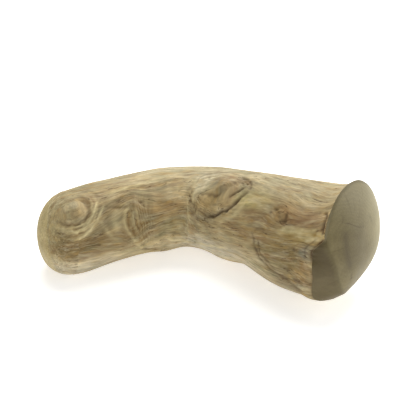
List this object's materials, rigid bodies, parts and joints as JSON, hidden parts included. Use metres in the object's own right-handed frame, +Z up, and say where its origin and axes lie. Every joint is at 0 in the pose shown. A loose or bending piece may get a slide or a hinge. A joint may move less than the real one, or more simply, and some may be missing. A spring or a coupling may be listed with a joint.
{
  "type": "dry root",
  "caption": "Bent length of stripped, sanded root wood with a cut branch stub, squeezed folds and a flared, domed end.",
  "frame": {"origin": "on the resting plane, under the middle of the root's bounding box", "axes": "+X from the narrow rounded end towards the flared end, +Y towards the outside of the bend, +Z up from the worn flats the root lies on"},
  "size_m": [0.1704, 0.0864, 0.0591],
  "materials": {
    "stripped_root_wood": "bare, stripped of bark, dried and sanded, matt; grey-tan with darker fibre lines and creases, smoother and greyer on the two sanded ends"
  },
  "bodies": {
    "root": {"dry_root": "stripped_root_wood"}
  },
  "joints": []
}
